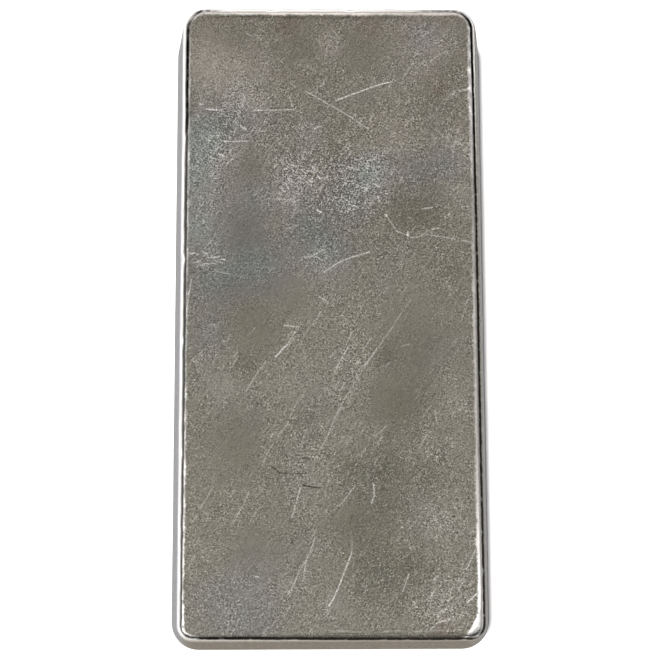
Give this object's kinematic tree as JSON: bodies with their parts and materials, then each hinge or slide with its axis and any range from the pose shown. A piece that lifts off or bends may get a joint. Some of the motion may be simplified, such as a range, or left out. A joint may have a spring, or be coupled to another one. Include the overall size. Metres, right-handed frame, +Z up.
{
  "type": "cast metal ingot",
  "caption": "Cast metal ingot: a flat oblong bar with drafted walls and rounded edges and corners, tarnished and scratched, held as raw stock to stack, weigh and melt.",
  "frame": {"origin": "middle of the pour face, which the bar lies on", "axes": "+Z up, out of the upper face; +Y along the bar's length, away from the viewer; +X across its width, to the viewer's right"},
  "size_m": [0.0544, 0.111, 0.0168],
  "materials": {
    "cast_silver": "cast silver, dull grey tarnish on the flats, worn bright along the edges, fine scratches"
  },
  "bodies": {
    "root": {"ingot": "cast_silver"}
  },
  "joints": []
}
